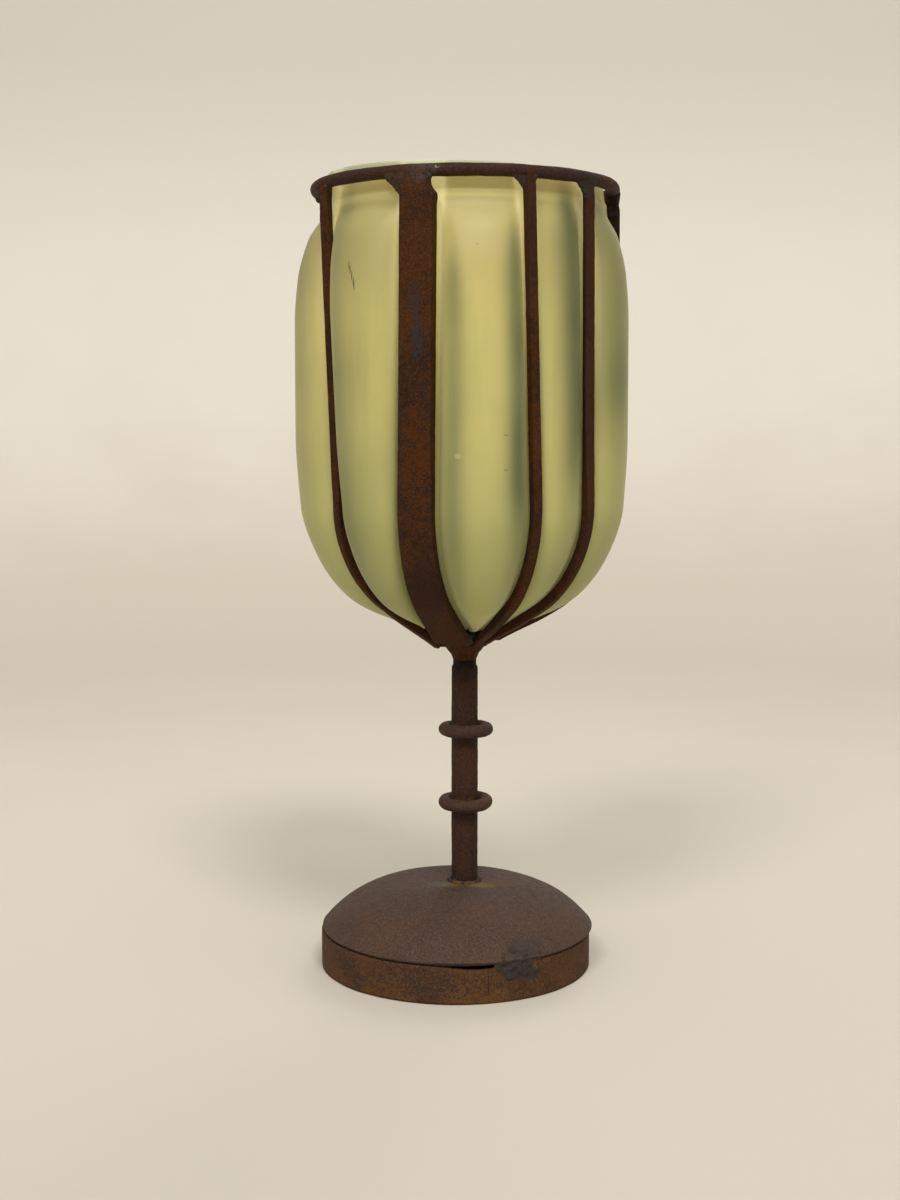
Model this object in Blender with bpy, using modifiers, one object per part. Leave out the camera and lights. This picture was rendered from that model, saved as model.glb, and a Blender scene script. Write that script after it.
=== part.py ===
"""Hurricane candle lantern: a lobed glass cup blown into a cage of bars, on a stem and a domed base.

Metres, +Z up, standing on Z = 0 with the stem on the Z axis. Azimuths are in degrees from the front
(-Y), and grow towards +X. The whole iron stand is welded up, and the glass is captive in its cage.
The candle lifts straight out.
"""

import math
from typing import NamedTuple

import bpy
import numpy as np
from mathutils import Matrix, Vector

GAP = 0.0003  # between solids that touch on the real object

# Base: an upright hoop under a pressed dome, both set a little off the stem's axis.
BAND_X = -0.0034
DOME_X = -0.0027
BAND_RADIUS = 0.0508
BAND_HEIGHT = 0.0138
BAND_WALL = 0.0023
DOME_RADIUS = 0.0511
DOME_RIM_Z = 0.0153
DOME_TOP_Z = 0.0314
DOME_POWER = 3.7  # the crown is nearly flat and turns down ever steeper towards the rim
DOME_WALL = 0.0016
TACK_AZIMUTHS = {"front": 24.5, "back": 145, "left": 215}
TACK_RADII = (0.0088, 0.0018, 0.0036)
TACK_X = (BAND_X + DOME_X) / 2
TACK_INNER_RADIUS = DOME_RADIUS + 0.0008

# Stem
STEM_RADIUS = 0.00495
STEM_TOP_Z = 0.1155
FOOT_WELD_RADIUS = 0.0076
FOOT_WELD_HEIGHT = 0.0020
STEM_RING_RADIUS = 0.0080
STEM_RING_ROD = 0.00235
STEM_RING_X = 0.0004
STEM_RING_HEIGHTS = {"lower": 0.0618, "upper": 0.0897}

# Hub: a flared stub on the stem that the bars are welded to.
HUB_BOTTOM_Z = 0.1158
HUB_TOP_Z = 0.1263
HUB_OUTLINE = (
    (0.0060, HUB_TOP_Z),
    (0.0078, 0.1250),
    (0.0085, 0.1232),
    (0.0066, 0.1202),
    (0.0050, 0.1178),
    (0.0043, HUB_BOTTOM_Z),
)
HUB_WELD_RADII = (0.0040, 0.0026, 0.0020)
HUB_WELD_REACH = 0.0118
HUB_WELD_Z = 0.1243

# Cage of bars under a round top ring
RING_RADIUS = 0.0540
RING_ROD = 0.00225
RING_Z = 0.2883
RIB_TOP_Z = RING_Z - RING_ROD - GAP
BEND_RADIUS = 0.045
BEND_Z = 0.1755
BEND_STEPS = 8
UPRIGHT_STEPS = 6
CORNER = 0.0005
YAW_HEIGHTS = (0.165, 0.205)  # the bars' faces turn to their yaw between these heights
NARROW = {"width": 0.0035, "thickness": 0.0035, "radius": 0.0548}
WIDE = {"width": 0.0124, "thickness": 0.0045, "radius": 0.0552}


class Rib(NamedTuple):
    """A bar of the cage, and the lobe of glass between it and the next bar round."""

    bar: dict
    belly: float  # azimuth round the belly and at the hub
    top: float  # azimuth at the ring
    turn: float  # how far the bend turns the bar in from upright
    yaw: float  # how far the upright part's face is twisted away from straight outwards
    end: float  # radius where the bar is cut off, at the hub
    lobe: float  # how full the lobe after this bar is


RIBS = {
    "front_wide": Rib(WIDE, -18, -17, 57, -8, 0.0160, 0.90),
    "front": Rib(NARROW, 26, 22.7, 58, 8, 0.0098, 0.42),
    "right": Rib(NARROW, 52, 50.6, 59, -37, 0.0098, 0.79),
    "right_wide": Rib(WIDE, 97, 97, 60, 0, 0.0120, 0.90),
    "right_back": Rib(NARROW, 137, 137, 57, 10, 0.0098, 0.90),
    "back": Rib(NARROW, 176, 176, 57, -12, 0.0098, 0.95),
    "back_wide": Rib(WIDE, 215, 215, 58, 0, 0.0120, 0.90),
    "left_back": Rib(NARROW, 254, 253, 56, 15, 0.0098, 0.96),
    "left": Rib(NARROW, 305.5, 296, 54, 33, 0.0125, 0.92),
}
GUSSET_LEG = 0.0054
GUSSET_TOE = 0.0009
GUSSET_THICKNESS = 0.0030

# Glass: a round neck and bottom, with a lobe that bulges out between each pair of bars.
GLASS_WALL = 0.0026
TROUGH_RADIUS = 0.0522
TROUGH_BEND_RADIUS = BEND_RADIUS - (NARROW["radius"] - TROUGH_RADIUS)
TROUGH_TURN = 60
BOTTOM_ROUND_START = 0.020
BAR_CLEARANCE = 0.0008
LEAST_BAR_RADIUS = 0.018
LIP_Z = 0.2920
NECK_OUTLINE = ((0.0500, LIP_Z), (0.0503, 0.2870), (0.0509, 0.2830), (0.0516, 0.2795))
SHOULDER_HEIGHTS = (0.2755, 0.2710, 0.2650, 0.2560, 0.2420, 0.2200, 0.1950)
BELLY_ANGLES = (0, 12, 24, 36, 47, TROUGH_TURN)
BOTTOM_RADII = (0.026, BOTTOM_ROUND_START, 0.013, 0.006)
LOBE_HEIGHTS = (0.1265, 0.1316, 0.1390, 0.1450, 0.1600, 0.1750, 0.2000, 0.2400, 0.2560, 0.2700, 0.2795)
LOBE_DEPTHS = (0.0, 0.0030, 0.0054, 0.0066, 0.0072, 0.0091, 0.0107, 0.0106, 0.0093, 0.0053, 0.0)
LOBE_POWER = 2.4
COLUMNS_PER_BAY = 7

# Candle
CANDLE_RADIUS = 0.024
CANDLE_BASE_Z = 0.1385
CANDLE_HEIGHT = 0.075
CANDLE_EDGE = 0.0009
WICK_RADIUS = 0.0010
WICK_DEPTH = 0.008
WICK_STANDS = 0.009

COLLECTION = "hurricane_candle_lantern"


def clear_scene():
    for obj in list(bpy.data.objects):
        bpy.data.objects.remove(obj, do_unlink=True)


def make_collection(name):
    collection = bpy.data.collections.new(name)
    bpy.context.scene.collection.children.link(collection)
    return collection


def make_material(name, colour, roughness, metallic):
    material = bpy.data.materials.new(name)
    material.use_nodes = True
    shader = material.node_tree.nodes["Principled BSDF"]
    shader.inputs["Base Color"].default_value = (*colour, 1)
    shader.inputs["Roughness"].default_value = roughness
    shader.inputs["Metallic"].default_value = metallic
    return material


def make_materials():
    return {
        "iron": make_material("rusted_iron", (0.060, 0.031, 0.022), 0.75, 0.6),
        "dome": make_material("rusted_dome_iron", (0.052, 0.029, 0.024), 0.70, 0.6),
        "weld": make_material("weld_metal", (0.045, 0.036, 0.034), 0.65, 0.7),
        "glass": make_material("frosted_glass", (0.52, 0.50, 0.22), 0.55, 0.0),
        "wax": make_material("ivory_wax", (0.80, 0.74, 0.58), 0.45, 0.0),
        "wick": make_material("cotton_wick", (0.20, 0.17, 0.13), 0.9, 0.0),
    }


def direction(azimuth):
    angle = math.radians(azimuth)
    return Vector((math.sin(angle), -math.cos(angle), 0))


def link(obj, material, collection):
    for old in list(obj.users_collection):
        old.objects.unlink(obj)
    collection.objects.link(obj)
    if material:
        obj.data.materials.append(material)
    return obj


def mesh_object(name, points, edges, faces):
    mesh = bpy.data.meshes.new(name)
    mesh.from_pydata(points, edges, faces)
    return bpy.data.objects.new(name, mesh)


def add_screw(obj, steps):
    screw = obj.modifiers.new("turn", "SCREW")
    screw.steps = steps
    screw.render_steps = steps
    screw.use_merge_vertices = True
    screw.merge_threshold = 0.00001
    screw.use_smooth_shade = True


def turned(name, outline, steps, closed=False):
    """A turned shape. The outline is (radius, height) pairs down the outer side; a closed one is a ring's."""
    points = [(radius, 0, height) for radius, height in outline]
    edges = [(i, i + 1) for i in range(len(points) - 1)]
    if closed:
        edges.append((len(points) - 1, 0))
    obj = mesh_object(name, points, edges, [])
    add_screw(obj, steps)
    return obj


def add_wall(obj, thickness):
    """Thickens an open surface inwards."""
    solidify = obj.modifiers.new("wall", "SOLIDIFY")
    solidify.thickness = thickness
    solidify.offset = -1


def rod_ring(name, radius, rod, height, steps, sides=8):
    bpy.ops.mesh.primitive_torus_add(
        major_radius=radius,
        minor_radius=rod,
        major_segments=steps,
        minor_segments=sides,
        location=(0, 0, height),
    )
    ring = bpy.context.active_object
    ring.name = name
    ring.data.shade_smooth()
    return ring


def lump(name, radii, location, azimuth):
    """A weld bead: a flattened ball. The first of its radii lies along the tangent, the second outwards."""
    bpy.ops.mesh.primitive_uv_sphere_add(segments=12, ring_count=8, radius=1)
    bead = bpy.context.active_object
    bead.name = name
    bead.data.transform(Matrix.Diagonal((*radii, 1)))
    bead.data.shade_smooth()
    bead.location = location
    bead.rotation_euler = (0, 0, math.radians(azimuth))
    return bead


# Base


def make_band():
    inner = BAND_RADIUS - BAND_WALL
    edge = 0.0003
    outline = (
        (BAND_RADIUS - edge, BAND_HEIGHT),
        (BAND_RADIUS, BAND_HEIGHT - edge),
        (BAND_RADIUS, edge),
        (BAND_RADIUS - edge, 0),
        (inner, 0),
        (inner, BAND_HEIGHT),
    )
    band = turned("base_band", outline, 64, closed=True)
    band.location.x = BAND_X
    return band


def dome_outline(steps=10):
    outline = []
    for step in range(steps + 1):
        share = math.sin(math.pi / 2 * step / steps)
        height = DOME_RIM_Z + (DOME_TOP_Z - DOME_RIM_Z) * (1 - share**DOME_POWER)
        outline.append((DOME_RADIUS * share, height))
    return outline


def make_dome():
    dome = turned("base_dome", dome_outline(), 48)
    add_wall(dome, DOME_WALL)
    dome.location.x = DOME_X
    return dome


def make_tack_cutter():
    bpy.ops.mesh.primitive_cylinder_add(vertices=180, radius=TACK_INNER_RADIUS, depth=0.04)
    cutter = bpy.context.active_object
    cutter.name = "tack_cutter"
    cutter.location = (TACK_X, 0, DOME_RIM_Z)
    cutter.hide_render = True
    cutter.display_type = "WIRE"
    return cutter


def make_tack(place, azimuth, cutter):
    """A weld bead across the open joint between the hoop and the dome, flat on their outer side."""
    centre = direction(azimuth) * TACK_INNER_RADIUS
    middle = (BAND_HEIGHT + DOME_RIM_Z) / 2
    location = (centre.x + TACK_X, centre.y, middle)
    tack = lump(f"base_tack_weld_{place}", TACK_RADII, location, azimuth)
    cut = tack.modifiers.new("fit_to_rim", "BOOLEAN")
    cut.operation = "DIFFERENCE"
    cut.object = cutter
    return tack


# Stem


def make_stem():
    foot = DOME_TOP_Z + GAP
    neck = STEM_RADIUS - 0.0007
    outline = (
        (0, STEM_TOP_Z),
        (neck, STEM_TOP_Z),
        (neck, STEM_TOP_Z - 0.0012),
        (STEM_RADIUS, STEM_TOP_Z - 0.0024),
        (STEM_RADIUS, foot),
        (0, foot),
    )
    return turned("stem", outline, 32)


def make_foot_weld():
    inner = STEM_RADIUS + GAP
    foot = DOME_TOP_Z + GAP
    outline = (
        (inner, foot + FOOT_WELD_HEIGHT),
        (inner + 0.0009, foot + 0.4 * FOOT_WELD_HEIGHT),
        (FOOT_WELD_RADIUS, foot + 0.0001),
        (FOOT_WELD_RADIUS, foot - 0.0002),
        (inner, foot - 0.0001),
    )
    return turned("stem_foot_weld", outline, 24, closed=True)


def make_stem_ring(place, height):
    ring = rod_ring(f"stem_ring_{place}", STEM_RING_RADIUS, STEM_RING_ROD, height, 24)
    ring.location.x = STEM_RING_X
    return ring


# Cage


def make_hub():
    return turned("cage_hub", ((0, HUB_TOP_Z), *HUB_OUTLINE, (0, HUB_BOTTOM_Z)), 24)


def make_hub_weld():
    """The weld that joins the short end of the front wide bar to the hub."""
    azimuth = RIBS["front_wide"].belly
    location = direction(azimuth) * HUB_WELD_REACH + Vector((0, 0, HUB_WELD_Z))
    return lump("hub_weld", HUB_WELD_RADII, location, azimuth)


def make_section(name, bar):
    """The bar's section: a rectangle with small chamfers, as a guide that the ribs are swept with."""
    half_width = bar["width"] / 2
    half_thickness = bar["thickness"] / 2
    corners = []
    for x, y in ((1, 1), (1, -1), (-1, -1), (-1, 1)):
        along = (x * (half_width - CORNER), y * half_thickness)
        across = (x * half_width, y * (half_thickness - CORNER))
        corners += [along, across] if x * y > 0 else [across, along]
    curve = bpy.data.curves.new(name, "CURVE")
    curve.dimensions = "2D"
    curve.fill_mode = "NONE"
    spline = curve.splines.new("POLY")
    spline.points.add(len(corners) - 1)
    for point, (x, y) in zip(spline.points, corners):
        point.co = (x, y, 0, 1)
    spline.use_cyclic_u = True
    section = bpy.data.objects.new(name, curve)
    section.hide_render = True
    section.display_type = "WIRE"
    return section


def side_reach(rib):
    """How far the bar's section reaches sideways with its yaw."""
    yaw = abs(math.radians(rib.yaw))
    return (rib.bar["width"] * math.cos(yaw) + rib.bar["thickness"] * math.sin(yaw)) / 2


def ease(value, start, end):
    """Smooth step from 0 at start to 1 at end."""
    share = min(max((value - start) / (end - start), 0), 1)
    return share * share * (3 - 2 * share)


def azimuth_at(rib, height):
    rise = min(max((height - BEND_Z) / (RIB_TOP_Z - BEND_Z), 0), 1)
    return rib.belly + (rib.top - rib.belly) * rise


def rib_profile(rib):
    """(radius, height) of the bar's middle: straight from the hub, round the belly and up to the ring."""
    upright = rib.bar["radius"]
    centre = upright - BEND_RADIUS
    angle = math.radians(rib.turn)
    bend_end = (centre + BEND_RADIUS * math.cos(angle), BEND_Z - BEND_RADIUS * math.sin(angle))
    profile = [(rib.end, bend_end[1] - (bend_end[0] - rib.end) / math.tan(angle))]
    for step in range(BEND_STEPS, -1, -1):
        share = angle * step / BEND_STEPS
        profile.append((centre + BEND_RADIUS * math.cos(share), BEND_Z - BEND_RADIUS * math.sin(share)))
    for step in range(1, UPRIGHT_STEPS + 1):
        profile.append((upright, BEND_Z + (RIB_TOP_Z - BEND_Z) * step / UPRIGHT_STEPS))
    return profile


def make_rib(name, rib, section):
    curve = bpy.data.curves.new(name, "CURVE")
    curve.dimensions = "3D"
    curve.bevel_mode = "OBJECT"
    curve.bevel_object = section
    curve.use_fill_caps = True
    profile = rib_profile(rib)
    spline = curve.splines.new("POLY")
    spline.points.add(len(profile) - 1)
    for point, (radius, height) in zip(spline.points, profile):
        place = direction(azimuth_at(rib, height)) * radius
        point.co = (place.x, place.y, height, 1)
        point.tilt = math.radians(rib.yaw) * ease(height, *YAW_HEIGHTS)
    return bpy.data.objects.new(name, curve)


def make_gusset(name, rib):
    """The weld in the corner between a bar's left side and the underside of the ring."""
    corner = -side_reach(rib) - GAP
    outline = (
        (corner, 0),
        (corner - GUSSET_LEG, 0),
        (corner - GUSSET_LEG, -GUSSET_TOE),
        (corner - 0.4 * GUSSET_LEG, -0.45 * GUSSET_LEG),
        (corner - GUSSET_TOE, -GUSSET_LEG),
        (corner, -GUSSET_LEG),
    )
    curve = bpy.data.curves.new(name, "CURVE")
    curve.dimensions = "2D"
    curve.fill_mode = "BOTH"
    curve.extrude = GUSSET_THICKNESS / 2
    spline = curve.splines.new("POLY")
    spline.points.add(len(outline) - 1)
    for point, (x, y) in zip(spline.points, outline):
        point.co = (x, y, 0, 1)
    spline.use_cyclic_u = True
    gusset = bpy.data.objects.new(name, curve)
    middle = direction(rib.top) * RING_RADIUS
    gusset.location = (middle.x, middle.y, RIB_TOP_Z)
    gusset.rotation_euler = (math.pi / 2, 0, math.radians(rib.top))
    return gusset


def make_top_ring():
    return rod_ring("cage_top_ring", RING_RADIUS, RING_ROD, RING_Z, 64)


# Glass


def trough_outline():
    """(radius, height, outward slope) of the glass along a bar, from the lip to the middle of the bottom."""
    centre = TROUGH_RADIUS - TROUGH_BEND_RADIUS
    outline = [(radius, height, 0) for radius, height in NECK_OUTLINE]
    outline += [(TROUGH_RADIUS, height, 0) for height in SHOULDER_HEIGHTS]
    for degrees in BELLY_ANGLES:
        angle = math.radians(degrees)
        radius = centre + TROUGH_BEND_RADIUS * math.cos(angle)
        outline.append((radius, BEND_Z - TROUGH_BEND_RADIUS * math.sin(angle), angle))
    bend_radius, bend_z, turn = outline[-1]
    round_z = bend_z - (bend_radius - BOTTOM_ROUND_START) / math.tan(turn)
    ball = BOTTOM_ROUND_START / math.cos(turn)
    for radius in BOTTOM_RADII:
        if radius > BOTTOM_ROUND_START:
            outline.append((radius, bend_z - (bend_radius - radius) / math.tan(turn), turn))
            continue
        angle = math.acos(radius / ball)
        outline.append((radius, round_z + ball * (math.sin(turn) - math.sin(angle)), angle))
    bottom_z = round_z - ball * (1 - math.sin(turn))
    return outline, bottom_z


def bay_columns(radius, height):
    """(azimuth, share of the lobe's depth) round the cup at this radius and height, from bar to bar."""
    ribs = list(RIBS.values())
    columns = []
    for rib, following in zip(ribs, ribs[1:] + ribs[:1]):
        start = azimuth_at(rib, height) + clearance_angle(rib, radius)
        end = azimuth_at(following, height) - clearance_angle(following, radius)
        width = (end - start) % 360
        for column in range(COLUMNS_PER_BAY):
            share = column / (COLUMNS_PER_BAY - 1)
            depth = math.sqrt(1 - abs(2 * share - 1) ** LOBE_POWER)
            columns.append((start + width * share, rib.lobe * depth))
    return columns


def clearance_angle(rib, radius):
    """Half of the angle that a bar takes up at this radius. Near the bottom the lobes stop narrowing."""
    half_width = side_reach(rib) + BAR_CLEARANCE
    return math.degrees(math.asin(half_width / max(radius, LEAST_BAR_RADIUS)))


def make_glass():
    """The cup is a loft: round at the lip, lobed between the bars, and round again at the bottom."""
    outline, bottom_z = trough_outline()
    points = []
    for radius, height, slope in outline:
        depth = float(np.interp(height, LOBE_HEIGHTS, LOBE_DEPTHS))
        for azimuth, share in bay_columns(radius, height):
            reach = radius + depth * share * math.cos(slope)
            drop = depth * share * math.sin(slope)
            points.append(direction(azimuth) * reach + Vector((0, 0, height - drop)))
    points.append(Vector((0, 0, bottom_z)))
    round_count = COLUMNS_PER_BAY * len(RIBS)
    faces = []
    for row in range(len(outline) - 1):
        for column in range(round_count):
            after = (column + 1) % round_count
            upper = row * round_count
            lower = upper + round_count
            faces.append((upper + column, lower + column, lower + after, upper + after))
    last = (len(outline) - 1) * round_count
    for column in range(round_count):
        faces.append((last + column, len(points) - 1, last + (column + 1) % round_count))
    cup = mesh_object("glass_cup", points, [], faces)
    cup.data.shade_smooth()
    add_wall(cup, GLASS_WALL)
    return cup


# Candle


def make_candle_axis():
    """The candle's parts hang on this empty, which lifts straight up out of the cup."""
    axis = bpy.data.objects.new("candle_lift_axis", None)
    axis.location.z = CANDLE_BASE_Z
    return axis


def make_wax():
    hole = WICK_RADIUS + GAP
    outline = (
        (0, CANDLE_HEIGHT - WICK_DEPTH),
        (hole, CANDLE_HEIGHT - WICK_DEPTH),
        (hole, CANDLE_HEIGHT - 2 * CANDLE_EDGE),
        (0.6 * CANDLE_RADIUS, CANDLE_HEIGHT - 1.4 * CANDLE_EDGE),
        (CANDLE_RADIUS - CANDLE_EDGE, CANDLE_HEIGHT),
        (CANDLE_RADIUS, CANDLE_HEIGHT - CANDLE_EDGE),
        (CANDLE_RADIUS, CANDLE_EDGE),
        (CANDLE_RADIUS - CANDLE_EDGE, 0),
        (0, 0),
    )
    return turned("candle_wax", outline, 40)


def make_wick():
    top = CANDLE_HEIGHT + WICK_STANDS
    bottom = CANDLE_HEIGHT - WICK_DEPTH + GAP
    outline = ((0, top), (WICK_RADIUS, top), (WICK_RADIUS, bottom), (0, bottom))
    return turned("candle_wick", outline, 10)


def build():
    clear_scene()
    parts = make_collection(COLLECTION)
    helpers = make_collection("cutters_and_guides")
    look = make_materials()

    link(make_band(), look["iron"], parts)
    link(make_dome(), look["dome"], parts)
    cutter = link(make_tack_cutter(), None, helpers)
    for place, azimuth in TACK_AZIMUTHS.items():
        link(make_tack(place, azimuth, cutter), look["weld"], parts)

    link(make_stem(), look["iron"], parts)
    link(make_foot_weld(), look["weld"], parts)
    for place, height in STEM_RING_HEIGHTS.items():
        link(make_stem_ring(place, height), look["iron"], parts)

    link(make_hub(), look["iron"], parts)
    link(make_top_ring(), look["iron"], parts)
    narrow_section = link(make_section("narrow_section", NARROW), None, helpers)
    wide_section = link(make_section("wide_section", WIDE), None, helpers)
    for name, rib in RIBS.items():
        section = wide_section if rib.bar is WIDE else narrow_section
        link(make_rib(f"rib_{name}", rib, section), look["iron"], parts)
        link(make_gusset(f"rib_weld_{name}", rib), look["weld"], parts)
    link(make_hub_weld(), look["weld"], parts)

    link(make_glass(), look["glass"], parts)

    axis = make_candle_axis()
    parts.objects.link(axis)
    for candle_part in (link(make_wax(), look["wax"], parts), link(make_wick(), look["wick"], parts)):
        candle_part.parent = axis


build()
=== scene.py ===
"""Hurricane candle lantern: fine meshes, materials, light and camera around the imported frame.

Metres, +Z up, the stem on the Z axis. Azimuths are in degrees from the front (-Y) and grow towards +X.
"""

import math
from typing import NamedTuple

import bmesh
import bpy
import numpy as np
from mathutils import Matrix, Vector, noise


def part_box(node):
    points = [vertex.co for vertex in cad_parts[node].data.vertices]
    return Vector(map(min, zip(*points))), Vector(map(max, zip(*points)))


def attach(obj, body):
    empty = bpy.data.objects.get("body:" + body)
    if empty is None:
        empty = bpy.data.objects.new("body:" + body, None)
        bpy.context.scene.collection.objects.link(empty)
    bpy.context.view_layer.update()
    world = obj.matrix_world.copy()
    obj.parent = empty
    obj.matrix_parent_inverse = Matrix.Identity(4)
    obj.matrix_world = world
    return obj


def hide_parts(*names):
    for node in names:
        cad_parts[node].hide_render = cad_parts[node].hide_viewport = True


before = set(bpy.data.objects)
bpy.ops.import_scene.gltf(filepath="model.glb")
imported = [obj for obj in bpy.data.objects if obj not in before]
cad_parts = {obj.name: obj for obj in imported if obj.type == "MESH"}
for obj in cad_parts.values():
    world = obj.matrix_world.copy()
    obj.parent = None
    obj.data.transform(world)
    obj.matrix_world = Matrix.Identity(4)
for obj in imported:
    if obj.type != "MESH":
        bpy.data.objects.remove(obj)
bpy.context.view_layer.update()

# Driving dimensions of the stand, as the CAD model has them.
BAND_X = -0.0034
DOME_X = -0.0027
DOME_RADIUS = 0.0511
DOME_RIM_Z = 0.0153
DOME_TOP_Z = 0.0314
DOME_POWER = 3.7
DOME_WALL = 0.0016
BAND_WALL = 0.0023
STEM_RADIUS = 0.00495
STEM_RING_RADIUS = 0.0080
STEM_RING_ROD = 0.00235
RING_RADIUS = 0.0540
RING_ROD = 0.00225
RING_Z = 0.2883
RIB_TOP_Z = 0.28575
BEND_RADIUS = 0.045
BEND_Z = 0.1755
YAW_HEIGHTS = (0.165, 0.205)
BURIED = 0.0036  # how far a bar's end runs on into the hub's weld metal
TAPER = 0.0180  # length over which a bar's end thins
THINNED = 0.6  # share of its outer half that a bar loses by its end
BAR_CORNER = 0.0006
NOTCH = 0.0026  # how much is gone from the front wide bar's upper right corner
RIGHT_WIDE_SHIFT = 0.0010  # how far the right wide bar leans in at its top
ROUND_STEPS = 260  # columns round the base's turned shapes
TACK_LOW_Z = 0.0098
TACK_MIDDLE_Z = 0.0133
TACK_PITCH = 0.0022  # between the layers of weld metal
TACK_RADIUS = 0.0496
TACKS = {"front": (9.5, 1.8), "back": (8.5, 0), "left": (8.5, 0)}  # half width, and shift round, in degrees
SAG = 0.0013  # of the hoop's upper edge, beside the front tack weld
SAG_AZIMUTH = 9
SAG_WIDTH = 12
HUB_BOTTOM_Z = 0.1140
HUB_RIM_Z = 0.1255
HUB_HEIGHTS = (HUB_BOTTOM_Z, 0.1158, 0.1178, 0.1202, 0.1232, HUB_RIM_Z)
HUB_RADII = (0.0042, 0.0043, 0.0050, 0.0066, 0.0088, 0.0092)
NARROW = {"width": 0.0035, "thickness": 0.0035, "radius": 0.0548}
WIDE = {"width": 0.0124, "thickness": 0.0045, "radius": 0.0552}


# Bands of painted shade, in deeper green, down a lobe: (share across the lobe, width as a share, strength,
# height of the band's top, height below which it pales).
SIDE_BANDS = ((0.16, 0.12, 0.7, 0.272, 0.190), (0.84, 0.14, 0.8, 0.272, 0.190))
FRONT_BANDS = ((0.17, 0.13, 0.60, 0.270, 0.170), (0.86, 0.15, 0.90, 0.278, 0.185))
RIGHT_BANDS = ((0.74, 0.40, 1.0, 0.292, 0.205),)
FAR_RIGHT_BANDS = ((0.32, 0.40, 0.78, 0.292, 0.218),)
LEFT_BANDS = ((0.22, 0.28, 0.55, 0.292, 0.160), (0.60, 0.60, 0.22, 0.285, 0.150))
FAR_LEFT_BANDS = ((0.70, 0.25, 0.42, 0.285, 0.200),)


class Rib(NamedTuple):
    """A bar of the cage, and the lobe of glass between it and the next bar round."""

    bar: dict
    belly: float  # azimuth round the belly and at the hub
    top: float  # azimuth at the ring
    turn: float  # how far the bend turns the bar in from upright
    yaw: float  # how far the upright part's face is twisted away from straight outwards
    end: float  # radius where the bar is cut off, at the hub
    lobe: float  # how full the lobe after this bar is
    # bands of painted shade, in deep green, down the lobe after this bar
    green: tuple = SIDE_BANDS


RIBS = {
    "front_wide": Rib(WIDE, -18, -17, 57, -8, 0.0160, 0.90, FRONT_BANDS),
    "front": Rib(NARROW, 26, 22.7, 58, 8, 0.0098, 0.42, RIGHT_BANDS),
    "right": Rib(NARROW, 52, 50.6, 59, -37, 0.0098, 0.79, FAR_RIGHT_BANDS),
    "right_wide": Rib(WIDE, 97, 97, 60, 0, 0.0120, 0.90),
    "right_back": Rib(NARROW, 137, 137, 57, 10, 0.0098, 0.90),
    "back": Rib(NARROW, 176, 176, 57, -12, 0.0098, 0.95),
    "back_wide": Rib(WIDE, 215, 215, 58, 0, 0.0120, 0.90),
    "left_back": Rib(NARROW, 254, 253, 56, 15, 0.0098, 0.96, FAR_LEFT_BANDS),
    "left": Rib(NARROW, 305.5, 296, 54, 33, 0.0125, 0.92, LEFT_BANDS),
}

# Glass
GLASS_WALL = 0.0026
TROUGH_RADIUS = 0.0522
TROUGH_BEND_RADIUS = BEND_RADIUS - (NARROW["radius"] - TROUGH_RADIUS)
TROUGH_TURN = 60
BOTTOM_ROUND_START = 0.020
BAR_CLEARANCE = 0.0008
NECK_RIDGE = 0.0004  # the low ridge round the neck
NECK_RIDGE_Z = 0.2822
SHOULDER_Z = 0.2740
GLOW_WIDTH = 0.045  # of the painted light beside a bar, as a share of the bay
LEAST_BAR_RADIUS = 0.018
LIP_Z = 0.2920
LIP_TILT = 0.0013  # the lip is this much higher at the left than at the middle, and lower at the right
NECK_HEIGHTS = (0.2795, 0.2830, 0.2870, LIP_Z)
NECK_RADII = (0.0516, 0.0509, 0.0503, 0.0500)
LOBE_HEIGHTS = (0.1265, 0.1316, 0.1390, 0.1450, 0.1600, 0.1750, 0.2000, 0.2400, 0.2560, 0.2700, 0.2795)
LOBE_DEPTHS = (0.0, 0.0030, 0.0054, 0.0066, 0.0072, 0.0091, 0.0107, 0.0106, 0.0093, 0.0053, 0.0)
LOBE_POWER = 2.4
COLUMNS_PER_BAY = 30
GLASS_ROW = 0.0015

# Candle
CANDLE_LOW, CANDLE_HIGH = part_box("candle_wax")
CANDLE_RADIUS = CANDLE_HIGH.x
CANDLE_BASE_Z = CANDLE_LOW.z
CANDLE_TOP_Z = CANDLE_HIGH.z


# Geometry helpers


def direction(azimuth):
    angle = math.radians(azimuth)
    return Vector((math.sin(angle), -math.cos(angle), 0))


def across(azimuth):
    """The level direction in which the azimuth grows."""
    angle = math.radians(azimuth)
    return Vector((math.cos(angle), math.sin(angle), 0))


def polar(azimuth, radius, height, centre_x=0.0):
    return direction(azimuth) * radius + Vector((centre_x, 0, height))


def ease(value, start, end):
    """Smooth step from 0 at start to 1 at end."""
    share = min(max((value - start) / (end - start), 0), 1)
    return share * share * (3 - 2 * share)


def bell(value, middle, width):
    return math.exp(-(((value - middle) / width) ** 2))


def smooth_curve(xs, ys):
    """A smooth function through the points, which doesn't overshoot between them."""
    xs = np.array(xs, float)
    ys = np.array(ys, float)
    steps = np.diff(xs)
    slopes = np.diff(ys) / steps
    tangents = np.zeros(len(xs))
    for i in range(1, len(xs) - 1):
        if slopes[i - 1] * slopes[i] > 0:
            tangents[i] = 2 / (1 / slopes[i - 1] + 1 / slopes[i])

    def value(x):
        i = int(np.clip(np.searchsorted(xs, x) - 1, 0, len(steps) - 1))
        t = min(max((x - xs[i]) / steps[i], 0), 1)
        start = ys[i] * (1 + 2 * t) * (1 - t) ** 2 + steps[i] * tangents[i] * t * (1 - t) ** 2
        end = ys[i + 1] * t * t * (3 - 2 * t) - steps[i] * tangents[i + 1] * t * t * (1 - t)
        return float(start + end)

    return value


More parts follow.
